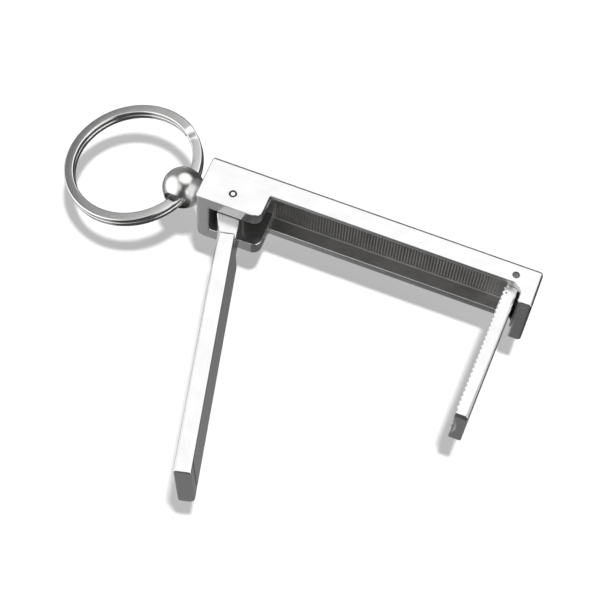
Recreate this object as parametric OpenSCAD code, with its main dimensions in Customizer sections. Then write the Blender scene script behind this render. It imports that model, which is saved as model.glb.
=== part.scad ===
// Pocket lip grip: a one-piece channel body with a ribbed gripping face, a toothed jaw
// that folds into the channel, a lever that folds over the jaw, and a ball swivel with
// a split ring at the other end. Shown unfolded. Millimetres.
// Origin: underside of the body, half way along it, on the centre line of the spine plate.
// +X runs from the swivel to the jaw hinge, -Y is the open front, +Z is up.

/* [Body] */
// Length of the body
body_l = 77; // [70:0.5:84]
// Height of the body, the same for the lever
body_h = 16.8; // [14:0.1:20]
// Depth of the long spine plates, back to front
spine_w = 4.9; // [4.5:0.1:6]
// Depth of the head, back to front
head_w = 11; // [10:0.1:13]
// Length of the head
head_l = 15.25; // [14:0.05:18]
// Depth of the end wall, back to front
end_w = 9.05; // [8:0.05:11]
// Thickness of the end wall
end_t = 3.4; // [3:0.1:5]
// Thickness of the two ears of the head
ear_t = 3.75; // [3:0.05:4.5]
// Thickness of the two spine plates
plate_t = 2.1; // [1.6:0.1:2.6]
// Thickness of the back web, out to the tips of its ribs
web_t = 1.5; // [1.3:0.05:1.6]
// Thickness of the wall that carries the swivel
swivel_wall_t = 3.2; // [2.5:0.1:4]
// Distance from one rib to the next
rib_pitch = 0.68; // [0.5:0.01:1.2]
// Depth of the grooves between the ribs
rib_depth = 0.22; // [0.1:0.01:0.4]

/* [Lever] */
// Distance from the lever pin to the lever's tip
lever_reach = 65.9; // [60:0.1:66.2]
// Thickness of the lever, front to back when folded
lever_t = 3.75; // [3:0.05:3.8]
// Lean of the lever's blade about its own length
lever_lean = 2.2; // [0:0.1:2.2]
// Distance from the lever pin to the shoulder of the lever
shoulder_s = 9.5; // [9.2:0.1:11]
// Angle of the lever from the folded position
lever_open = 77; // [0:1:110]

/* [Jaw] */
// Distance from the jaw pin to the jaw's tip
jaw_reach = 34.9; // [30:0.1:40]
// Height of the jaw
jaw_h = 12.3; // [8:0.1:12.4]
// Angle of the jaw from the folded position
jaw_open = 88.8; // [0:0.1:93]
// Distance from one tooth to the next
tooth_pitch = 1.17; // [0.8:0.01:2]
// Depth of the teeth
tooth_depth = 0.42; // [0.2:0.01:0.6]

/* [Pins] */
// Diameter of the lever pin
lever_pin_d = 1.66; // [1.4:0.02:2]
// Diameter of the jaw pin
jaw_pin_d = 1.6; // [1.4:0.02:1.8]
// Radial clearance of a pin in the part that turns on it
run_gap = 0.04; // [0.02:0.01:0.08]

/* [Swivel and ring] */
// Diameter of the swivel ball
ball_d = 9.5; // [8:0.1:11]
// Outside diameter of the split ring
ring_od = 32.2; // [28:0.1:36]
// Width of the ring's wire, inside to outside
ring_w = 2.25; // [1.6:0.05:2.4]
// Height of one turn of the ring
ring_turn_h = 1.28; // [1:0.02:1.4]
// Angle by which the ring hangs down from the ball
ring_drop = 10.4; // [0:0.1:12]
// Angle by which the ring is swung to the back
ring_yaw = 12.4; // [-11:0.1:14]
// Angle by which the ring leans to the back
ring_lean = 2.9; // [0:0.1:4]

/* [Hidden] */
$fn = 96;
e = 0.01;
// the body runs from x0 to x1 and from yf (front of the head) to yb (back)
x0 = -body_l / 2;
x1 = body_l / 2;
yb = spine_w / 2;
yf = yb - head_w;
xh = x0 + head_l;
xe = x1 - end_t;
zc = body_h / 2;
chan_h = body_h - 2 * plate_t;
slot_h = body_h - 2 * ear_t;
web_y = yb - web_t;
// hinge positions
lever_x = x0 + 7.53;
lever_y = yb - 7.5;
jaw_x = x1 - 5.54;
jaw_y = yb - 3.07;
press = 0.005;
lever_pin_r = lever_pin_d / 2;
jaw_pin_r = jaw_pin_d / 2;
// lever, measured across its own length: front face and back face
lever_f = -1.46;
lever_b = lever_f + lever_t;
lever_mid = lever_f + lever_t / 2;
lever_edge = 0.05;
hub_r = 3;
tang_h = 8.66;
washer_t = 0.25;
// jaw, measured across its own length: toothed face and back face
jaw_f = -1.5;
jaw_b = 1.6;
jaw_hub_r = 1.4;
scoop_depth = 1.2;
scoop_span = 8.8;
dowel_r = 0.25;
dowel_s = 3.75;
dowel_o = -0.62;
// swivel
ball_r = ball_d / 2;
ball_x = x0 - 5.25;
ball_y = yb - 5.6;
eye_w = 6;
eye_h = 5;
eye_r = 2.4;
stem_r = 1;
stem_gap = 0.04;
collar_r = 1.9;
swasher_t = 0.25;
swasher_r = 2.4;
peen_r = 1.7;
peen_t = 0.6;
gap = 0.02;
// ring
ring_mid_r = (ring_od - ring_w) / 2;
turn_gap = 0.02;
ring_sit = -0.42;
ring_slide = 0.88;
crank_az = 53;
crank_span = 13;

// ---------------------------------------------------------------- helpers

// the waste outside a rounded corner at the origin whose sides run along +X and +Y
module corner_waste(r) {
    difference() {
        translate([-1, -1]) square([r + 1, r + 1]);
        translate([r, r]) circle(r);
        translate([r, -2]) square([2, r + 3]);
        translate([-2, r]) square([r + 3, 2]);
    }
}

// turns a drawing over where sx or sy is negative
module flip(sx, sy) {
    mirror([sx < 0 ? 1 : 0, 0, 0]) mirror([0, sy < 0 ? 1 : 0, 0]) children();
}

// rounds a corner at p, opening towards sx, sy
module round_at(p, r, sx, sy) {
    translate(p) flip(sx, sy) corner_waste(r);
}

// moves something drawn about a hinge to that hinge at its rest angle
module at_hinge(x, y, angle) {
    translate([x, y, 0]) rotate([0, 0, angle]) children();
}

// washer with its axis along Z, standing on z = 0
module washer(ro, ri, t) {
    difference() {
        cylinder(h = t, r = ro);
        translate([0, 0, -1]) cylinder(h = t + 2, r = ri);
    }
}

// ---------------------------------------------------------------- body

// outline of the body seen from above
module body_outline() {
    difference() {
        union() {
            translate([x0, yb - spine_w]) square([body_l, spine_w]);
            translate([x0, yf]) square([head_l, head_w]);
            translate([xe, yb - end_w]) square([end_t, end_w]);
            translate([xe - 2.2, yb - spine_w - 2.2]) difference() {
                square([2.3, 2.3]);
                circle(2.2);
            }
        }
        round_at([x0, yf], 0.8, 1, 1);
        round_at([xh, yf], 2, -1, 1);
        round_at([x0, yb], 0.8, 1, -1);
        round_at([x1, yb], 1.2, -1, -1);
        round_at([x1, yb - end_w], 0.4, -1, 1);
    }
}

// inside of the channel seen from above, its back edge cut into ribs
module channel_outline() {
    rib_x = xh + 0.6;
    n = floor((jaw_x - 2.2 - rib_x) / rib_pitch);
    polygon(concat(
        [[xh - e, yf - 3], [xe, yf - 3], [xe, web_y], [rib_x + n * rib_pitch, web_y]],
        [for (i = [n - 1 : -1 : 0], k = [0.5, 0])
            [rib_x + (i + k) * rib_pitch, web_y + (k > 0 ? rib_depth : 0)]],
        [[xh - e, web_y]]
    ));
}

module frame() {
    color("silver") difference() {
        linear_extrude(body_h) body_outline();
        // slot between the ears, then the channel between the spine plates
        translate([x0 + swivel_wall_t, yf - 3, ear_t])
            cube([head_l - swivel_wall_t, head_w + 3 - web_t, slot_h]);
        translate([0, 0, plate_t]) linear_extrude(chan_h) channel_outline();
        // hinge holes, right through
        translate([lever_x, lever_y, -1]) cylinder(h = body_h + 2, r = lever_pin_r - press);
        translate([jaw_x, jaw_y, -1]) cylinder(h = body_h + 2, r = jaw_pin_r - press);
        // swivel bore
        translate([x0 - 1, ball_y, zc]) rotate([0, 90, 0])
            cylinder(h = swivel_wall_t + 2, r = stem_r + stem_gap);
        // rounded lower corners of the two ends
        translate([x0, yb + 2, 0]) rotate([90, 0, 0])
            linear_extrude(head_w + 4) corner_waste(1.5);
        translate([x1, yb + 2, 0]) rotate([90, 0, 0])
            linear_extrude(head_w + 4) flip(-1, 1) corner_waste(1);
        // bevel on the inner front edge of the end wall
        translate([xe, yb - end_w, -1]) rotate([0, 0, 45])
            cube([0.8, 0.8, 2 * body_h + 6], center = true);
    }
}

// ---------------------------------------------------------------- lever

// hub and tang of the lever seen from above, along +X from the pin
module tang_outline() {
    circle(hub_r);
    polygon([[0, -hub_r], [3.4, -hub_r], [shoulder_s + 0.1, lever_f],
        [shoulder_s + 0.1, lever_b], [0, lever_b]]);
}

module blade_outline() {
    difference() {
        translate([shoulder_s, lever_f]) square([lever_reach - shoulder_s, lever_t]);
        round_at([shoulder_s, lever_b], 1, 1, -1);
        round_at([shoulder_s, lever_f], 0.5, 1, 1);
        round_at([lever_reach, lever_b], 0.7, -1, -1);
        round_at([lever_reach, lever_f], 0.3, -1, 1);
    }
}

// a nail nick across the blade's back near its tip
module nick() {
    nick_w = 0.3;
    nick_depth = 0.35;
    translate([lever_reach - 2.5 - nick_w / 2, lever_b - nick_depth, 4])
        cube([nick_w, nick_depth + 1, body_h - 4.4]);
}

module lever() {
    color("lightgray") at_hinge(lever_x, lever_y, -lever_open) difference() {
        union() {
            intersection() {
                translate([0, lever_mid, zc]) rotate([lever_lean, 0, 0])
                    translate([0, -lever_mid, -zc]) difference() {
                        translate([0, 0, -1]) linear_extrude(body_h + 2) blade_outline();
                        nick();
                    }
                translate([0, -lever_t, lever_edge])
                    cube([body_l, 2 * lever_t, body_h - 2 * lever_edge]);
            }
            translate([0, 0, zc - tang_h / 2]) linear_extrude(tang_h) tang_outline();
        }
        translate([0, 0, -1]) cylinder(h = body_h + 2, r = lever_pin_r + run_gap);
    }
}

module lever_pin() {
    c = 0.3;
    color("gray") translate([lever_x, lever_y, 0]) rotate_extrude() polygon([
        [0, 0.05], [lever_pin_r - c, 0.05], [lever_pin_r, 0.05 + c],
        [lever_pin_r, body_h - 0.05 - c], [lever_pin_r - c, body_h - 0.05],
        [0, body_h - 0.05]]);
}

module lever_washers() {
    color("gray") for (z = [ear_t + gap, body_h - ear_t - gap - washer_t])
        translate([lever_x, lever_y, z])
            washer(2.6, lever_pin_r + run_gap, washer_t);
}

// ---------------------------------------------------------------- jaw

// the jaw seen from above, along +X from the pin, teeth towards -Y
module jaw_outline() {
    tooth_s = 2;
    n = floor((jaw_reach - tooth_s - 0.4) / tooth_pitch);
    circle(jaw_hub_r);
    polygon(concat(
        [[0, -jaw_hub_r], [tooth_s, jaw_f + tooth_depth]],
        [for (i = [0 : n - 1], k = [0.5, 1])
            [tooth_s + (i + k) * tooth_pitch, jaw_f + (k < 1 ? 0 : tooth_depth)]],
        [[jaw_reach, jaw_f + 0.2], [jaw_reach, jaw_b - 0.25], [jaw_reach - 0.25, jaw_b],
            [1.5, jaw_b], [0, jaw_hub_r]]
    ));
}

module jaw() {
    // radius of the round scoop that leaves a toothed lip along each edge
    scoop_r = (pow(scoop_span / 2, 2) + pow(scoop_depth, 2)) / (2 * scoop_depth);
    color("silver") at_hinge(jaw_x, jaw_y, 180 + jaw_open) difference() {
        translate([0, 0, zc - jaw_h / 2]) linear_extrude(jaw_h) jaw_outline();
        translate([2.5, jaw_f + scoop_depth - scoop_r, zc]) rotate([0, 90, 0])
            cylinder(h = jaw_reach, r = scoop_r, $fn = 240);
        translate([0, 0, -1]) cylinder(h = body_h + 2, r = jaw_pin_r + run_gap);
        translate([dowel_s, dowel_o, -1]) cylinder(h = body_h + 2, r = dowel_r - press);
    }
}

module jaw_pin() {
    color("dimgray") translate([jaw_x, jaw_y, 0.2]) cylinder(h = body_h - 0.4, r = jaw_pin_r);
}

module jaw_dowel() {
    color("gray") at_hinge(jaw_x, jaw_y, 180 + jaw_open)
        translate([dowel_s, dowel_o, zc - jaw_h / 2 + 0.05])
            cylinder(h = jaw_h - 0.1, r = dowel_r);
}

// ---------------------------------------------------------------- swivel

// the eye through the ball seen from the front, with rounded corners
module eye_outline() {
    w = eye_w / 2;
    h = eye_h / 2;
    difference() {
        square([eye_w, eye_h], center = true);
        for (sx = [-1, 1], sy = [-1, 1]) round_at([-sx * w, -sy * h], eye_r, sx, sy);
    }
}

// ball, collar and stem turned in one piece; the stem's end is peened over
module swivel_ball() {
    collar_x = x0 - 2 * gap - swasher_t;
    peen_x = x0 + swivel_wall_t + 2 * gap + swasher_t;
    color("silver") difference() {
        translate([ball_x, ball_y, zc]) union() {
            sphere(ball_r);
            rotate([0, 90, 0]) cylinder(h = collar_x - ball_x, r = collar_r);
            rotate([0, 90, 0]) cylinder(h = peen_x + peen_t - ball_x, r = stem_r);
            translate([peen_x - ball_x, 0, 0]) rotate([0, 90, 0])
                cylinder(h = peen_t, r = peen_r);
        }
        translate([ball_x, ball_y + ball_d, zc]) rotate([90, 0, 0])
            linear_extrude(2 * ball_d) eye_outline();
    }
}

module swivel_washers() {
    color("gray") for (x = [x0 - gap - swasher_t, x0 + swivel_wall_t + gap])
        translate([x, ball_y, zc]) rotate([0, 90, 0])
            washer(x < x0 ? swasher_r : peen_r, stem_r + stem_gap, swasher_t);
}

// ---------------------------------------------------------------- ring

// one flat turn standing on z = 0, open over the crank
module ring_turn() {
    b = 0.22;
    ri = ring_od / 2 - ring_w;
    ro = ring_od / 2;
    h = ring_turn_h;
    rotate([0, 0, crank_az + crank_span]) rotate_extrude(angle = 360 - crank_span, $fn = 120)
        polygon([[ri + b, 0], [ro - b, 0], [ro, b], [ro, h - b], [ro - b, h], [ri + b, h],
            [ri, h - b], [ri, b]]);
}

// the sloping length of wire that joins the end of the upper turn to the lower one
module ring_crank() {
    h = ring_turn_h;
    rise = h + turn_gap;
    a = crank_az + crank_span / 2;
    half = ring_mid_r * sin(crank_span / 2);
    lap = 0.35;
    intersection() {
        rotate([0, 0, a]) translate([ring_mid_r + 3, 0, 0]) rotate([90, 0, -90])
            linear_extrude(6) polygon([[half + lap, 0.05], [half, 0.05],
                [-half, rise + 0.05], [-half - lap, rise + 0.05], [-half - lap, rise + h - 0.05],
                [-half, rise + h - 0.05], [half, h - 0.05], [half + lap, h - 0.05]]);
        difference() {
            cylinder(h = 3 * h, r = ring_od / 2 - 0.02, $fn = 120);
            translate([0, 0, -1]) cylinder(h = 3 * h + 2, r = ring_od / 2 - ring_w + 0.02,
                $fn = 120);
        }
    }
}

module split_ring() {
    rise = ring_turn_h + turn_gap;
    color("silver") translate([ball_x, ball_y, zc + ring_sit]) rotate([0, 0, -ring_yaw])
        rotate([0, -ring_drop, 0]) rotate([ring_lean, 0, 0])
            translate([ring_slide - ring_mid_r, 0, -rise / 2 - ring_turn_h / 2]) union() {
                ring_turn();
                translate([0, 0, rise]) ring_turn();
                ring_crank();
            }
}

// ---------------------------------------------------------------- nodes

frame();
lever();
lever_pin();
lever_washers();
jaw();
jaw_pin();
jaw_dowel();
swivel_ball();
swivel_washers();
split_ring();
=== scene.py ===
import math

import bmesh
import bpy
from mathutils import Euler, Matrix, Vector


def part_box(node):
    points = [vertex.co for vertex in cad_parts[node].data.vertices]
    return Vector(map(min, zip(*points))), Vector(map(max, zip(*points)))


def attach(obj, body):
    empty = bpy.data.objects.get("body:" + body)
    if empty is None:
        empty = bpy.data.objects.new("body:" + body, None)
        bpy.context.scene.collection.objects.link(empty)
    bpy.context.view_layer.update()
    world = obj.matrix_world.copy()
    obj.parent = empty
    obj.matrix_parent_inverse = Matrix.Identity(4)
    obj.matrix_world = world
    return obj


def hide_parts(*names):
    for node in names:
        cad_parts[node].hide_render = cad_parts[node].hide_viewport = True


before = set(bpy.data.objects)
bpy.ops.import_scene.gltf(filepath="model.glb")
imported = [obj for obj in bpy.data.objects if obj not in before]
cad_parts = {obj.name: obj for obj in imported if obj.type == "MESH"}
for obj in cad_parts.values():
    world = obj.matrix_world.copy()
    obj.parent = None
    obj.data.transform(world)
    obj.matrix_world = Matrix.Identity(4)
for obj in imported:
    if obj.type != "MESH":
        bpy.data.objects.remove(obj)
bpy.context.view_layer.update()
scene = bpy.context.scene

MM = 0.001            # one millimetre in metres
EDGE, INSIDE = 1, 2   # material slots of worn edges and of hollows, the hollows' darker steel being painted shade; slot 0 has the outer faces
OVERRUN = 1.0         # how far a cutter runs past what it cuts

# ------------------------------------------------------------------ sizes, in millimetres

HEAD_L = 15.25        # body: its head, spine plates, end wall and back web
SPINE_W = 4.9
END_W = 9.05
END_T = 3.4
END_BEVEL = 0.57
EAR_T = 3.75
PLATE_T = 2.1
WEB_T = 1.5
SWIVEL_WALL_T = 3.2
CHANNEL_END_R = 2.2
MOUTH_CUT = 0.9       # chamfer inside the upper plate's front edge
MOUTH_STOP = 3.0      # how far before the end wall it stops
RIB_PITCH = 0.68
RIB_DEPTH = 0.2
RIB_INSET = 0.2       # left plain above and below the ribs
RIB_START = 0.3       # from the head
RIB_STOP = 2.2        # at least this far before the jaw's pin
FRAME_EDGE_R = 0.24
LEVER_PIN_HOLE = (0.845, 0.1)      # radius of the hole and flare of its mouth
JAW_PIN_HOLE = (0.81, 0.04)

LEVER_OPEN = -77.0    # direction of the lever, in degrees from +X
LEVER_REACH = 65.9    # from the pin to the tip
LEVER_FRONT = -1.46   # offsets of its two faces from the pin's centre line
LEVER_BACK = 2.29
LEVER_LEAN = 2.2      # the top leans to the front, in degrees
LEVER_INSET = 0.05    # below the body's top and above its underside
SHOULDER_S = 9.5
HUB_R = 3.0
TANG_H = 8.66
TANG_EDGE_R = 0.2
TANG_BORE_R = 0.87
NICK_BACK, NICK_W, NICK_DEPTH = 2.5, 0.44, 0.35      # distance from the tip, width, depth
NICK_LOW, NICK_TOP_GAP = 4, 0.4

JAW_OPEN = 268.8      # direction of the jaw, in degrees from +X
JAW_REACH = 34.9
JAW_FRONT = -1.5
JAW_BACK = 1.6
JAW_H = 12.3
JAW_HUB_R = 1.4
JAW_BORE_R = 0.84
JAW_EDGE_R = 0.12
CHAMFER_FLAT, CHAMFER_DROP = 0.7, 0.3      # of the long back edges, across and down
CHAMFER_FROM, CHAMFER_FULL = 2.2, 7.0      # where they start and reach their full size
TIP_BEVEL_L, TIP_BEVEL_H = 0.42, 1.1
TOOTH_START = 2.0
TOOTH_PITCH = 1.17
TOOTH_DEPTH = 0.42
SCOOP_DEPTH = 1.2
SCOOP_SPAN = 8.8
SCOOP_START = 2.5
DOWEL_S, DOWEL_O, DOWEL_R = 3.75, -0.62, 0.2         # place along and across, radius

EYE_W, EYE_H, EYE_R = 6.0, 5.0, 2.4
EYE_EDGE_R = 0.14
COLLAR_R, STEM_R, PEEN_R, PEEN_T = 1.9, 1.0, 1.7, 0.6
STEM_PLAY = 0.04
WASHER_T = 0.25
LEVER_WASHER_R = (0.88, 2.6)       # inside and outside radius
SWIVEL_WASHER_R = 2.4
GAP = 0.02

RING_R = 16.1         # outside radius
RING_W = 2.25
RING_TURN_H = 1.28
RING_TURN_GAP = 0.02
RING_YAW, RING_DROP, RING_LEAN = 12.4, 10.4, 2.9     # how it hangs in the eye, in degrees
RING_SIT, RING_SLIDE = -0.42, 0.88 # its wire's height and place along, from the ball's centre
RING_CORNER_R = 0.34
CRANK_AZ, CRANK_SPAN = 53.0, 13.0  # where the crank starts and the angle it takes, in degrees


# ------------------------------------------------------------------ places, from the frame

def box_mm(node):
    lo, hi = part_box(node)
    return lo / MM, hi / MM


def centre_mm(node):
    lo, hi = box_mm(node)
    return (lo + hi) / 2


def radius_mm(node):
    lo, hi = box_mm(node)
    return (hi.x - lo.x) / 2


body_lo, body_hi = box_mm("frame")
X0, X1 = body_lo.x, body_hi.x
YF, YB = body_lo.y, body_hi.y
H = body_hi.z
ZC = H / 2
XH = X0 + HEAD_L      # end of the head
XE = X1 - END_T       # inner face of the end wall
YS = YB - SPINE_W     # front of the spine plates
YE = YB - END_W       # front of the end wall
WEB_Y = YB - WEB_T    # front of the back web
LEVER_PIN = centre_mm("lever_pin")
JAW_PIN = centre_mm("jaw_pin")
ball_lo, ball_hi = box_mm("swivel_ball")
BALL_R = (ball_hi.z - ball_lo.z) / 2
BALL = Vector((ball_lo.x + BALL_R, (ball_lo.y + ball_hi.y) / 2, ZC))


# ------------------------------------------------------------------ drawing helpers

def rounded(corners, step=9):
    """A closed outline from (x, y, radius) corners; each round corner is an arc of short steps."""
    points = []
    count = len(corners)
    for i, (x, y, r) in enumerate(corners):
        p = Vector((x, y))
        before = (Vector(corners[i - 1][:2]) - p).normalized()
        after = (Vector(corners[(i + 1) % count][:2]) - p).normalized()
        if r <= 0:
            points.append((x, y))
            continue
        half = before.angle(after) / 2
        centre = p + (before + after).normalized() * (r / math.sin(half))
        first = p + before * (r / math.tan(half)) - centre
        last = p + after * (r / math.tan(half)) - centre
        turn = math.atan2(first.cross(last), first.dot(last))
        steps = max(2, round(abs(math.degrees(turn)) / step))
        for k in range(steps + 1):
            points.append(tuple(centre + Matrix.Rotation(turn * k / steps, 2) @ first))
    return points


def piece_from(name, bm):
    bmesh.ops.recalc_face_normals(bm, faces=bm.faces)
    mesh = bpy.data.meshes.new(name)
    bm.to_mesh(mesh)
    bm.free()
    obj = bpy.data.objects.new(name, mesh)
    scene.collection.objects.link(obj)
    return obj


def prism(name, outline, low, high, axis="Z"):
    """The outline pushed from low to high along an axis."""
    place = {"Z": lambda u, v, w: (u, v, w),
             "Y": lambda u, v, w: (u, w, v),
             "X": lambda u, v, w: (w, u, v)}[axis]
    bm = bmesh.new()
    bottom = [bm.verts.new(place(u, v, low)) for u, v in outline]
    top = [bm.verts.new(place(u, v, high)) for u, v in outline]
    count = len(outline)
    bm.faces.new(bottom)
    bm.faces.new(top)
    for i in range(count):
        k = (i + 1) % count
        bm.faces.new((bottom[i], bottom[k], top[k], top[i]))
    return piece_from(name, bm)


def skin(name, rows):
    """A solid through a row of closed loops with equal counts, capped at both ends."""
    bm = bmesh.new()
    loops = [[bm.verts.new(p) for p in row] for row in rows]
    count = len(loops[0])
    for a, b in zip(loops, loops[1:]):
        for i in range(count):
            k = (i + 1) % count
            bm.faces.new((a[i], a[k], b[k], b[i]))
    bm.faces.new(loops[0])
    bm.faces.new(loops[-1])
    return piece_from(name, bm)


def block(name, low, high):
    corners = [(low[0], low[1]), (high[0], low[1]), (high[0], high[1]), (low[0], high[1])]
    return prism(name, corners, low[2], high[2])


def lathe(name, profile, centre, axis="Z", segments=72):
    """A turned solid. The profile is (radius, height) points that start and end on the axis,
    or a closed loop clear of it."""
    solid = profile[0][0] == 0 and profile[-1][0] == 0
    bm = bmesh.new()
    rows = []
    for r, h in profile:
        if r == 0:
            rows.append([bm.verts.new((0, 0, h))])
            continue
        rows.append([bm.verts.new((r * math.cos(2 * math.pi * k / segments),
                                   r * math.sin(2 * math.pi * k / segments), h))
                     for k in range(segments)])
    pairs = list(zip(rows, rows[1:])) + ([] if solid else [(rows[-1], rows[0])])
    for a, b in pairs:
        for k in range(segments):
            n = (k + 1) % segments
            ring = [a[k % len(a)], a[n % len(a)], b[n % len(b)], b[k % len(b)]]
            bm.faces.new(list(dict.fromkeys(ring)))
    turn = Matrix.Rotation(math.radians(90), 4, "Y") if axis == "X" else Matrix.Identity(4)
    bmesh.ops.transform(bm, matrix=Matrix.Translation(centre) @ turn, verts=bm.verts)
    return piece_from(name, bm)


def apply_modifiers(obj):
    bpy.context.view_layer.update()
    solved = obj.evaluated_get(bpy.context.evaluated_depsgraph_get())
    mesh = bpy.data.meshes.new_from_object(solved)
    old = obj.data
    obj.modifiers.clear()
    obj.data = mesh
    mesh.name = obj.name
    bpy.data.meshes.remove(old)


def combine(obj, other, operation):
    """Cuts away, joins or keeps what two solids share, and deletes the second."""
    modifier = obj.modifiers.new("combine", "BOOLEAN")
    modifier.object = other
    modifier.operation = operation
    modifier.solver = "MANIFOLD"
    apply_modifiers(obj)
    bpy.data.objects.remove(other)


def soften(obj, width, segments=3, angle=30):
    """Rounds every edge sharper than the angle. The rounded strips take the worn-edge slot."""
    while len(obj.data.materials) < 2:
        obj.data.materials.append(None)
    modifier = obj.modifiers.new("soften", "BEVEL")
    modifier.limit_method = "ANGLE"
    modifier.angle_limit = math.radians(angle)
    modifier.width = width
    modifier.segments = segments
    modifier.use_clamp_overlap = False
    modifier.material = EDGE
    apply_modifiers(obj)


def bore(obj, x, y, radius, segments=72):
    """Cuts a straight round hole through the whole height."""
    profile = [(0, -OVERRUN), (radius, -OVERRUN), (radius, H + OVERRUN), (0, H + OVERRUN)]
    combine(obj, lathe("bore", profile, (x, y, 0), segments=segments), "DIFFERENCE")


def swing(obj, hinge, degrees):
    """Takes a solid drawn along +X from the origin to its hinge and its rest direction."""
    spin = Matrix.Rotation(math.radians(degrees), 4, "Z")
    obj.data.transform(Matrix.Translation((hinge.x, hinge.y, 0)) @ spin)


def hand_over(obj, node, body, materials, sharp=40):
    """Holds a finished solid inside its node's box, scales it to metres, smooths its shading,
    gives it its materials and puts it in the frame."""
    mesh = obj.data
    low, high = box_mm(node)
    for vertex in mesh.vertices:
        vertex.co = [min(max(c, a), b) for c, a, b in zip(vertex.co, low, high)]
    mesh.transform(Matrix.Scale(MM, 4))
    mesh.polygons.foreach_set("use_smooth", [True] * len(mesh.polygons))
    mesh.set_sharp_from_angle(angle=math.radians(sharp))
    normals = obj.modifiers.new("normals", "WEIGHTED_NORMAL")
    normals.keep_sharp = True
    apply_modifiers(obj)
    while len(obj.data.materials) < len(materials):
        obj.data.materials.append(None)
    for index, material in enumerate(materials):
        obj.data.materials[index] = material
    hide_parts(node)
    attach(obj, body)


# ------------------------------------------------------------------ steel

SMUDGE_SIZE = (5.5, 3.5, 3.5)
SPECK_SIZE = (0.16, 0.16, 0.16)
BUMP_HEIGHT = 0.02


def steel(name, dark, light, rough, grain_angle=0.0, grain=(7.0, 0.09), bump=0.12):
    """Bare metal: fine lines along grain_angle, faint broad smudges and small specks,
    which all show in its tone, its roughness and its bump."""
    material = bpy.data.materials.new(name)
    material.use_nodes = True
    nodes = material.node_tree.nodes
    links = material.node_tree.links
    shader = nodes["Principled BSDF"]
    shader.inputs["Metallic"].default_value = 1.0
    coords = nodes.new("ShaderNodeTexCoord")

    def noise(size, angle, detail):
        mapping = nodes.new("ShaderNodeMapping")
        mapping.vector_type = "TEXTURE"
        mapping.inputs["Rotation"].default_value = (0, 0, math.radians(angle))
        mapping.inputs["Scale"].default_value = [s * MM for s in size]
        links.new(coords.outputs["Object"], mapping.inputs["Vector"])
        texture = nodes.new("ShaderNodeTexNoise")
        texture.inputs["Scale"].default_value = 1.0
        texture.inputs["Detail"].default_value = detail
        links.new(mapping.outputs["Vector"], texture.inputs["Vector"])
        return texture.outputs["Fac"]

    def mix(a, b, share):
        blend = nodes.new("ShaderNodeMix")
        blend.inputs["Factor"].default_value = share
        links.new(a, blend.inputs["A"])
        links.new(b, blend.inputs["B"])
        return blend.outputs["Result"]

    lines = noise((grain[0], grain[1], grain[1]), grain_angle, 3)
    smudges = noise(SMUDGE_SIZE, grain_angle + 35, 2)
    specks = noise(SPECK_SIZE, 0, 2)
    surface = mix(mix(lines, specks, 0.35), smudges, 0.4)

    ramp = nodes.new("ShaderNodeValToRGB")
    ramp.color_ramp.elements[0].position = 0.36
    ramp.color_ramp.elements[0].color = (*dark, 1)
    ramp.color_ramp.elements[1].position = 0.62
    ramp.color_ramp.elements[1].color = (*light, 1)
    links.new(surface, ramp.inputs["Fac"])
    links.new(ramp.outputs["Color"], shader.inputs["Base Color"])

    spread = nodes.new("ShaderNodeMapRange")
    spread.inputs["From Min"].default_value = 0.3
    spread.inputs["From Max"].default_value = 0.7
    spread.inputs["To Min"].default_value = rough[0]
    spread.inputs["To Max"].default_value = rough[1]
    links.new(surface, spread.inputs["Value"])
    links.new(spread.outputs["Result"], shader.inputs["Roughness"])

    relief = nodes.new("ShaderNodeBump")
    relief.inputs["Strength"].default_value = bump
    relief.inputs["Distance"].default_value = BUMP_HEIGHT * MM
    links.new(mix(lines, specks, 0.4), relief.inputs["Height"])
    links.new(relief.outputs["Normal"], shader.inputs["Normal"])
    return material


SATIN_DARK, SATIN_LIGHT = (0.69, 0.685, 0.69), (0.80, 0.797, 0.80)
body_steel = steel("body_steel", SATIN_DARK, SATIN_LIGHT, (0.19, 0.30))
lever_steel = steel("lever_steel", SATIN_DARK, SATIN_LIGHT, (0.19, 0.30), LEVER_OPEN)
jaw_steel = steel("jaw_steel", SATIN_DARK, SATIN_LIGHT, (0.20, 0.32), JAW_OPEN)
worn_edge = steel("worn_edge", (0.76, 0.755, 0.745), (0.86, 0.86, 0.855), (0.12, 0.22), 0,
                  (1.2, 0.3), 0.2)
# darker steel for the hollows of the frame: painted shade in the slot, the channel and the pin
# holes
hollow_shade_steel = steel("hollow_shade_steel", (0.32, 0.315, 0.31), (0.48, 0.475, 0.47), (0.34, 0.48), 0,
                     (3.0, 0.12), 0.3)
pin_steel = steel("pin_steel", (0.66, 0.66, 0.65), (0.78, 0.78, 0.77), (0.15, 0.28), 20,
                  (1.5, 0.1), 0.15)
# dark steel for the jaw pin and the dowel, and painted shade in the lever's nick and on the lever
# pin's chamfer
dark_pin_steel = steel("dark_pin_steel", (0.10, 0.10, 0.10), (0.26, 0.26, 0.255), (0.35, 0.6),
                       60, (0.5, 0.15), 0.5)
ball_steel = steel("ball_steel", (0.72, 0.715, 0.705), (0.80, 0.80, 0.795), (0.19, 0.26), 10,
                   (1.5, 0.25), 0.05)
ring_steel = steel("ring_steel", (0.70, 0.695, 0.69), (0.82, 0.82, 0.815), (0.07, 0.14), 25,
                   (0.8, 0.25), 0.12)


# ------------------------------------------------------------------ body

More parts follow.
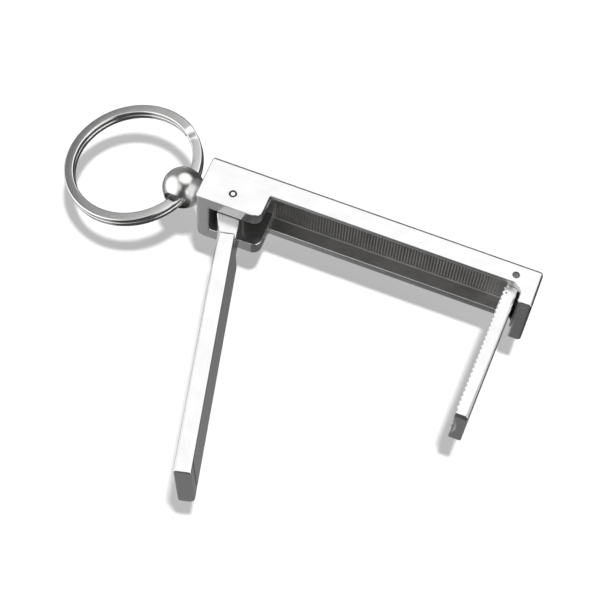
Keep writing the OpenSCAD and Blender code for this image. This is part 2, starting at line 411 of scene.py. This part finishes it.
def build_frame():
    plan = rounded([(X0, YF, 0.8), (XH, YF, 2.0), (XH, YS, 0.25), (XE, YS, CHANNEL_END_R),
                    (XE, YE + END_BEVEL, 0), (XE + END_BEVEL, YE, 0), (X1, YE, 0.4),
                    (X1, YB, 1.2), (X0, YB, 0.8)])
    body = prism("grip_frame", plan, 0, H)
    side = rounded([(X0, 0, 2.1), (X1, 0, 1.0), (X1, H, 0.8), (X0, H, 0)])
    combine(body, prism("side", side, YF - OVERRUN, YB + OVERRUN, "Y"), "INTERSECT")
    section = rounded([(YF - OVERRUN, 0, 0), (YB, 0, 0.8), (YB, H, 0.9), (YF - OVERRUN, H, 0)])
    combine(body, prism("section", section, X0 - OVERRUN, X1 + OVERRUN, "X"), "INTERSECT")
    front = YF - 3
    slot = block("slot", (X0 + SWIVEL_WALL_T, front, EAR_T), (XH, WEB_Y, H - EAR_T))
    combine(body, slot, "DIFFERENCE")
    channel = block("channel", (XH - 0.01, front, PLATE_T), (XE, WEB_Y, H - PLATE_T))
    combine(body, channel, "DIFFERENCE")
    # the upper plate's inner front edge is cut back, so that its front shows thinner
    lip, out = H - PLATE_T, 0.5
    mouth = [(YS - out, lip - out), (YS + MOUTH_CUT + out, lip - out),
             (YS - out, lip + MOUTH_CUT + out)]
    combine(body, prism("mouth", mouth, XH - 0.01, XE - MOUTH_STOP, "X"), "DIFFERENCE")
    soften(body, FRAME_EDGE_R)
    return body


def cut_ribs(body):
    """Cuts a row of V grooves into the front of the web."""
    first = XH + RIB_START
    count = math.floor((JAW_PIN.x - RIB_STOP - first) / RIB_PITCH)
    clear, crest, groove = WEB_Y - 0.3, WEB_Y - 0.02, WEB_Y + RIB_DEPTH
    comb = [(first, clear)]
    for i in range(count):
        comb += [(first + i * RIB_PITCH, crest), (first + (i + 0.5) * RIB_PITCH, groove)]
    last = first + count * RIB_PITCH
    comb += [(last, crest), (last, clear)]
    low, high = PLATE_T + RIB_INSET, H - PLATE_T - RIB_INSET
    combine(body, prism("comb", comb, low, high), "DIFFERENCE")


def cut_frame_holes(body):
    for pin, (radius, flare) in ((LEVER_PIN, LEVER_PIN_HOLE), (JAW_PIN, JAW_PIN_HOLE)):
        wide = radius + flare + OVERRUN
        drill = [(0, -OVERRUN), (wide, -OVERRUN), (radius, flare), (radius, H - flare),
                 (wide, H + OVERRUN), (0, H + OVERRUN)]
        combine(body, lathe("drill", drill, (pin.x, pin.y, 0)), "DIFFERENCE")
    radius, start, end = STEM_R + STEM_PLAY, X0 - OVERRUN, X0 + SWIVEL_WALL_T + OVERRUN
    drill = [(0, start), (radius, start), (radius, end), (0, end)]
    combine(body, lathe("drill", drill, (0, BALL.y, ZC), "X"), "DIFFERENCE")


def mark_hollows(body):
    """Gives the faces inside the slot and the channel, and the pin holes, their own slot, whose
    darker steel is painted shade in these hollows.
    """
    near, mouth, hole, flat = 0.02, 0.3, 1.0, 0.9
    body.data.materials.append(None)
    for face in body.data.polygons:
        p, n = face.center, face.normal
        in_slot = X0 + SWIVEL_WALL_T - near < p.x < XH and p.y > YF + mouth
        in_channel = XH <= p.x < XE - near and p.y > YS + mouth
        plate = EAR_T if p.x < XH else PLATE_T
        between = plate - near < p.z < H - plate + near
        if (in_slot or in_channel) and between and p.y < WEB_Y + 0.5:
            face.material_index = INSIDE
        if min((p.xy - pin.xy).length for pin in (LEVER_PIN, JAW_PIN)) < hole and abs(n.z) < flat:
            face.material_index = INSIDE


grip_frame = build_frame()
cut_ribs(grip_frame)
cut_frame_holes(grip_frame)
mark_hollows(grip_frame)
# the third slot's darker steel is painted shade in the frame's hollows
hand_over(grip_frame, "frame", "body", [body_steel, worn_edge, hollow_shade_steel])


# ------------------------------------------------------------------ lever

def build_blade():
    """The blade along +X, every edge rounded, its bottom corners more than its top ones."""
    low, high = LEVER_INSET, H - LEVER_INSET
    tip_round, shoulder_round = 0.28, 0.7

    def loop(s, inset):
        def corner(o, z, r):
            return (o, z, max(r - inset, 0.04))
        section = rounded([corner(LEVER_FRONT + inset, low + inset, 0.9),
                           corner(LEVER_BACK - inset, low + inset, 1.9),
                           corner(LEVER_BACK - inset, high - inset, 0.3),
                           corner(LEVER_FRONT + inset, high - inset, 0.45)])
        return [(s, o, z) for o, z in section]

    quarter = [math.radians(18 * k) for k in range(6)]
    rows = [loop(SHOULDER_S + shoulder_round * (1 - math.cos(a)),
                 shoulder_round * (1 - math.sin(a))) for a in quarter]
    rows += [loop(LEVER_REACH - tip_round * (1 - math.sin(a)),
                  tip_round * (1 - math.cos(a))) for a in quarter]
    return skin("blade", rows)


def mark_edges(obj, limit=0.985):
    """Gives the worn-edge slot to every face that is turned away from all three axes."""
    while len(obj.data.materials) < 2:
        obj.data.materials.append(None)
    for face in obj.data.polygons:
        if max(abs(c) for c in face.normal) < limit:
            face.material_index = EDGE


def grind_strip(blade):
    """Grinds a strip off the front upper edge, widest at the shoulder and running out."""
    run_out, slope, start_in, start_drop = -1.6, 38, 0.62, 0.08
    wedge = block("wedge", (-3, -6, 0), (24, 0, 6))
    tilt = (Matrix.Rotation(math.radians(run_out), 4, "Z")
            @ Matrix.Rotation(math.radians(slope), 4, "X"))
    start = (SHOULDER_S, LEVER_FRONT + start_in, H - start_drop)
    wedge.data.transform(Matrix.Translation(start) @ tilt)
    combine(blade, wedge, "DIFFERENCE")


def cut_nick(blade):
    """Cuts the nick across the blade's back and gives its faces their own slot, whose dark steel
    is painted shade in the groove.
    """
    middle, bottom = LEVER_REACH - NICK_BACK, LEVER_BACK - NICK_DEPTH
    nick = block("nick", (middle - NICK_W / 2, bottom, NICK_LOW),
                 (middle + NICK_W / 2, 9, H - NICK_TOP_GAP))
    combine(blade, nick, "DIFFERENCE")
    blade.data.materials.append(None)
    largest = 5       # square millimetres, so that the blade's own faces are passed over
    for face in blade.data.polygons:
        p = face.center
        within = abs(p.x - middle) < NICK_W / 2 + 0.01 and p.y > bottom - 0.05
        if within and face.area < largest:
            face.material_index = INSIDE


def lean(blade):
    """Shears the blade so that its top leans to the front."""
    slope = math.tan(math.radians(LEVER_LEAN))
    shear = Matrix.Identity(4)
    shear[1][2] = -slope
    shear[1][3] = ZC * slope
    blade.data.transform(shear)


def build_tang():
    """The narrow tang between the ears, round at the hub and running a little into the blade."""
    start = math.asin(LEVER_BACK / HUB_R)
    steps = 28
    outline = [(HUB_R * math.cos(a), HUB_R * math.sin(a))
               for a in (start + (1.5 * math.pi - start) * k / steps for k in range(steps + 1))]
    end, side = SHOULDER_S + 0.9, 0.35
    outline += [(HUB_R + 0.4, -HUB_R), (end, LEVER_FRONT + side), (end, LEVER_BACK - side)]
    tang = prism("grip_lever", outline, ZC - TANG_H / 2, ZC + TANG_H / 2)
    soften(tang, TANG_EDGE_R)
    tang.data.materials.append(None)
    return tang


def build_lever():
    blade = build_blade()
    mark_edges(blade)
    grind_strip(blade)
    cut_nick(blade)
    lean(blade)
    lever = build_tang()
    combine(lever, blade, "UNION")
    bore(lever, 0, 0, TANG_BORE_R)
    swing(lever, LEVER_PIN, LEVER_OPEN)
    return lever


# the third slot's dark steel is painted shade in the nick
hand_over(build_lever(), "lever", "lever", [lever_steel, worn_edge, dark_pin_steel])


# ------------------------------------------------------------------ jaw

def jaw_outline():
    """The jaw from above: a round hub, a row of teeth along the front and a plain back."""
    count = math.floor((JAW_REACH - TOOTH_START - 0.4) / TOOTH_PITCH)
    valley = JAW_FRONT + TOOTH_DEPTH
    outline = [(JAW_HUB_R * math.cos(math.radians(a)), JAW_HUB_R * math.sin(math.radians(a)))
               for a in range(90, 271, 10)]
    outline.append((TOOTH_START, valley))
    for i in range(count):
        start = TOOTH_START + i * TOOTH_PITCH
        outline += [(start + 0.5 * TOOTH_PITCH, JAW_FRONT), (start + TOOTH_PITCH, valley)]
    front_cut, back_cut = 0.2, 0.25
    outline += [(JAW_REACH, JAW_FRONT + front_cut), (JAW_REACH, JAW_BACK - back_cut),
                (JAW_REACH - back_cut, JAW_BACK), (1.5, JAW_BACK)]
    return outline


def chamfer_back(jaw, level, up):
    """Chamfers one long back edge. The chamfer starts beyond the hub and widens to full size."""
    rows = [[(s, JAW_BACK - CHAMFER_FLAT * k, level),
             (s, JAW_BACK, level - up * CHAMFER_DROP * k),
             (s, JAW_BACK + OVERRUN, level - up * CHAMFER_DROP * k),
             (s, JAW_BACK + OVERRUN, level + up),
             (s, JAW_BACK - CHAMFER_FLAT * k, level + up)]
            for s, k in ((CHAMFER_FROM, 0.02), (CHAMFER_FULL, 1), (JAW_REACH + OVERRUN, 1))]
    combine(jaw, skin("chamfer", rows), "DIFFERENCE")


def build_jaw():
    low, high = ZC - JAW_H / 2, ZC + JAW_H / 2
    jaw = prism("grip_jaw", jaw_outline(), low, high)
    chamfer_back(jaw, high, 1)
    chamfer_back(jaw, low, -1)
    # the tip is rounded below and bevelled above
    profile = rounded([(-5, low, 0), (JAW_REACH, low, 0.5), (JAW_REACH, high - TIP_BEVEL_H, 0.5),
                       (JAW_REACH - TIP_BEVEL_L, high, 0.1), (-5, high, 0)])
    combine(jaw, prism("profile", profile, -5, 5, "Y"), "INTERSECT")
    radius = ((SCOOP_SPAN / 2) ** 2 + SCOOP_DEPTH ** 2) / (2 * SCOOP_DEPTH)
    end = JAW_REACH + 3
    scoop = [(0, SCOOP_START), (radius, SCOOP_START), (radius, end), (0, end)]
    centre = (0, JAW_FRONT + SCOOP_DEPTH - radius, ZC)
    combine(jaw, lathe("scoop", scoop, centre, "X", 240), "DIFFERENCE")
    soften(jaw, JAW_EDGE_R, 2, 35)
    bore(jaw, 0, 0, JAW_BORE_R, 32)
    bore(jaw, DOWEL_S, DOWEL_O, DOWEL_R, 32)
    swing(jaw, JAW_PIN, JAW_OPEN)
    return jaw


hand_over(build_jaw(), "jaw", "jaw", [jaw_steel, worn_edge])


# ------------------------------------------------------------------ pins and washers

def turned_pin(node, name, end, segments=48):
    """A pin whose two ends share one profile of (radius, distance from the end) points."""
    lo, hi = box_mm(node)
    profile = [(r, lo.z + d) for r, d in end] + [(r, hi.z - d) for r, d in reversed(end)]
    middle = centre_mm(node)
    return lathe(name, profile, (middle.x, middle.y, 0), segments=segments)


def build_lever_pin():
    """Its ends are slightly domed, with a deep chamfer round them, whose faces take the dark steel
    as a painted shade ring.
    """
    r = radius_mm("lever_pin")
    end = [(0.0, 0.03), (0.3, 0.02), (0.48, 0.0), (0.54, 0.03), (r - 0.04, 0.3), (r, 0.36)]
    pin = turned_pin("lever_pin", "lever_hinge_pin", end)
    pin.data.materials.append(None)
    pin.data.materials.append(None)
    for face in pin.data.polygons:
        if 0.1 < abs(face.normal.z) < 0.9:
            face.material_index = EDGE
    hand_over(pin, "lever_pin", "body", [pin_steel, dark_pin_steel])


def build_jaw_pin():
    """Its ends have a small centre dimple."""
    r = radius_mm("jaw_pin")
    end = [(0.0, 0.12), (0.16, 0.08), (0.24, 0.0), (r - 0.12, 0.0), (r, 0.08)]
    pin = turned_pin("jaw_pin", "jaw_hinge_pin", end)
    hand_over(pin, "jaw_pin", "body", [dark_pin_steel])


def build_jaw_dowel():
    end = [(0.0, 0.0), (0.15, 0.01), (DOWEL_R - 0.02, 0.06), (DOWEL_R - 0.01, 0.12)]
    pin = turned_pin("jaw_dowel", "jaw_cross_dowel", end, 24)
    hand_over(pin, "jaw_dowel", "jaw", [dark_pin_steel])


def washer_profile(inner, outer, low):
    """A washer's section with its four corners broken."""
    e = 0.05
    high = low + WASHER_T
    return [(inner, low + e), (inner + e, low), (outer - e, low), (outer, low + e),
            (outer, high - e), (outer - e, high), (inner + e, high), (inner, high - e)]


def washer_pair(name, node, parts):
    """Makes one piece of two loose washers and hands it over."""
    combine(parts[0], parts[1], "UNION")
    parts[0].name = name
    hand_over(parts[0], node, "body", [pin_steel])


def build_washers():
    levels = (EAR_T + GAP, H - EAR_T - GAP - WASHER_T)
    parts = [lathe("washer", washer_profile(*LEVER_WASHER_R, z), (LEVER_PIN.x, LEVER_PIN.y, 0))
             for z in levels]
    washer_pair("lever_hinge_washers", "lever_washers", parts)
    places = ((X0 - GAP - WASHER_T, SWIVEL_WASHER_R), (X0 + SWIVEL_WALL_T + GAP, PEEN_R))
    parts = [lathe("washer", washer_profile(STEM_R + 0.05, outer, x), (0, BALL.y, ZC), "X")
             for x, outer in places]
    washer_pair("swivel_stem_washers", "swivel_washers", parts)


build_lever_pin()
build_jaw_pin()
build_jaw_dowel()
build_washers()


# ------------------------------------------------------------------ swivel ball

def build_ball():
    """The ball, its collar, stem and peened end turned in one, with the ring's eye cut through."""
    collar_x = X0 - 2 * GAP - WASHER_T - BALL.x
    peen_x = X0 + SWIVEL_WALL_T + 2 * GAP + WASHER_T - BALL.x
    profile = []
    stop = math.asin(COLLAR_R / BALL_R)
    steps = 64
    for k in range(steps + 1):
        a = math.pi - (math.pi - stop) * k / steps
        profile.append((0 if k == 0 else BALL_R * math.sin(a), BALL_R * math.cos(a)))
    profile += [(COLLAR_R, collar_x), (STEM_R, collar_x), (STEM_R, peen_x), (PEEN_R, peen_x),
                (PEEN_R, peen_x + PEEN_T * 0.4), (PEEN_R * 0.8, peen_x + PEEN_T * 0.8),
                (PEEN_R * 0.4, peen_x + PEEN_T), (0, peen_x + PEEN_T)]
    ball = lathe("swivel_eye_ball", profile, BALL, "X", 128)
    w, h = EYE_W / 2, EYE_H / 2
    eye = rounded([(BALL.x - w, BALL.z - h, EYE_R), (BALL.x + w, BALL.z - h, EYE_R),
                   (BALL.x + w, BALL.z + h, EYE_R), (BALL.x - w, BALL.z + h, EYE_R)], 5)
    combine(ball, prism("eye", eye, BALL.y - 9, BALL.y + 9, "Y"), "DIFFERENCE")
    soften(ball, EYE_EDGE_R)
    return ball


hand_over(build_ball(), "swivel_ball", "swivel", [ball_steel, ball_steel])


# ------------------------------------------------------------------ split ring

def build_ring():
    """Two turns of a flat strip that steps down from the upper turn to the lower at the crank."""
    rise = RING_TURN_H + RING_TURN_GAP
    inner = RING_R - RING_W
    section = rounded([(inner, 0, RING_CORNER_R), (RING_R, 0, RING_CORNER_R),
                       (RING_R, RING_TURN_H, RING_CORNER_R),
                       (inner, RING_TURN_H, RING_CORNER_R)], 18)
    end_gap = 0.5
    total = 720 - CRANK_SPAN - 2 * end_gap
    crank_from = 360 - CRANK_SPAN - end_gap
    steps = 360
    rows = []
    for k in range(steps + 1):
        travel = total * k / steps
        down = min(1, max(0, (travel - crank_from) / CRANK_SPAN))
        level = rise * (1 - down * down * (3 - 2 * down))
        angle = math.radians(CRANK_AZ - end_gap - travel)
        rows.append([(r * math.cos(angle), r * math.sin(angle), level + h) for r, h in section])
    ring = skin("flat_split_ring", rows)
    middle_r = RING_R - RING_W / 2
    place = (Matrix.Translation(BALL + Vector((0, 0, RING_SIT)))
             @ Matrix.Rotation(math.radians(-RING_YAW), 4, "Z")
             @ Matrix.Rotation(math.radians(-RING_DROP), 4, "Y")
             @ Matrix.Rotation(math.radians(RING_LEAN), 4, "X")
             @ Matrix.Translation((RING_SLIDE - middle_r, 0, -rise / 2 - RING_TURN_H / 2)))
    ring.data.transform(place)
    return ring


hand_over(build_ring(), "split_ring", "ring", [ring_steel], 50)


# ------------------------------------------------------------------ floor and backdrop

FLOOR_Z = -0.013
FLOOR_R, BACKDROP_R = 0.4, 6.0
FLOOR_GREY, FLOOR_GLOW = 0.25, 0.3


def paper(name, grey, glow):
    """A dull plain surface that also gives off a little light."""
    material = bpy.data.materials.new(name)
    material.use_nodes = True
    shader = material.node_tree.nodes["Principled BSDF"]
    shader.inputs["Base Color"].default_value = (grey, grey, grey, 1)
    shader.inputs["Roughness"].default_value = 1.0
    shader.inputs["Specular IOR Level"].default_value = 0.0
    shader.inputs["Emission Color"].default_value = (1, 1, 1, 1)
    shader.inputs["Emission Strength"].default_value = glow
    return material


def build_stage():
    bm = bmesh.new()
    bmesh.ops.create_circle(bm, cap_ends=True, radius=FLOOR_R, segments=64)
    bmesh.ops.translate(bm, vec=(0, 0, FLOOR_Z), verts=bm.verts)
    floor = piece_from("floor", bm)
    floor.data.materials.append(paper("floor", FLOOR_GREY, FLOOR_GLOW))
    bm = bmesh.new()
    bmesh.ops.create_uvsphere(bm, u_segments=48, v_segments=24, radius=BACKDROP_R)
    dome = piece_from("backdrop", bm)
    dome.data.materials.append(paper("backdrop", 0, 1))
    dome.visible_diffuse = False
    dome.visible_shadow = False
    for piece in (floor, dome):
        piece.visible_glossy = False


# ------------------------------------------------------------------ light

# soft boxes: direction, angles of the full part and of the soft rim in degrees, brightness
SOFT_BOXES = (
    ((0.02, 0.42, 0.905), 25, 40, 1.36),
    ((0.55, 0.40, 0.73), 14, 28, 0.8),
    ((-0.83, -0.44, 0.33), 30, 60, 1.5),
    ((-0.30, -0.55, 0.78), 10, 28, 0.95),
    ((0.88, -0.34, 0.42), 20, 32, 1.8),
    ((0.93, -0.30, 0.10), 18, 30, 1.8),
    ((-0.85, 0.50, -0.10), 15, 80, 0.29),
    ((-0.05, 0.05, -1.0), 10, 45, 0.27),
    ((-0.47, -0.50, -0.73), 14, 26, 0.46),
    ((-0.42, 0.16, -0.89), 9, 20, 0.7),
)
ROOM = 0.07           # brightness of the dark room between them
KEY_AT = (0.117, -0.185, 1.09)
KEY_POWER = 120.0
KEY_SIZE = 0.04


def build_light():
    world = bpy.data.worlds.new("studio")
    scene.world = world
    world.use_nodes = True
    nodes, links = world.node_tree.nodes, world.node_tree.links
    background = nodes["Background"]
    coords = nodes.new("ShaderNodeTexCoord")

    def lobe(direction, inner, outer, bright):
        dot = nodes.new("ShaderNodeVectorMath")
        dot.operation = "DOT_PRODUCT"
        dot.inputs[1].default_value = Vector(direction).normalized()
        links.new(coords.outputs["Generated"], dot.inputs[0])
        edge = nodes.new("ShaderNodeMapRange")
        edge.interpolation_type = "SMOOTHSTEP"
        edge.inputs["From Min"].default_value = math.cos(math.radians(outer))
        edge.inputs["From Max"].default_value = math.cos(math.radians(inner))
        edge.inputs["To Min"].default_value = 0
        edge.inputs["To Max"].default_value = bright
        links.new(dot.outputs["Value"], edge.inputs["Value"])
        return edge.outputs["Result"]

    level = None
    for box in SOFT_BOXES:
        top = nodes.new("ShaderNodeMath")
        top.operation = "MAXIMUM"
        top.inputs[0].default_value = ROOM
        if level is not None:
            links.new(level, top.inputs[0])
        links.new(lobe(*box), top.inputs[1])
        level = top.outputs["Value"]
    links.new(level, background.inputs["Strength"])
    background.inputs["Color"].default_value = (1, 1, 1, 1)

    lamp = bpy.data.lights.new("key", "POINT")
    lamp.energy = KEY_POWER
    lamp.shadow_soft_size = KEY_SIZE
    key = bpy.data.objects.new("key", lamp)
    scene.collection.objects.link(key)
    key.location = KEY_AT
    key.visible_glossy = False


# ------------------------------------------------------------------ camera

CAMERA_AT = (0.03652, -0.178051, 0.327455)
CAMERA_TURN = (27.2049, -2.5043, 20.9697)      # degrees
CAMERA_LENS, CAMERA_SENSOR = 98.841, 36        # millimetres


def build_camera():
    camera = bpy.data.objects.new("camera", bpy.data.cameras.new("camera"))
    scene.collection.objects.link(camera)
    camera.location = CAMERA_AT
    camera.rotation_euler = Euler([math.radians(a) for a in CAMERA_TURN])
    camera.data.sensor_width = CAMERA_SENSOR
    camera.data.lens = CAMERA_LENS
    camera.data.clip_start = 0.01
    camera.data.clip_end = 20
    scene.camera = camera
    scene.view_settings.view_transform = "Standard"


build_stage()
build_light()
build_camera()
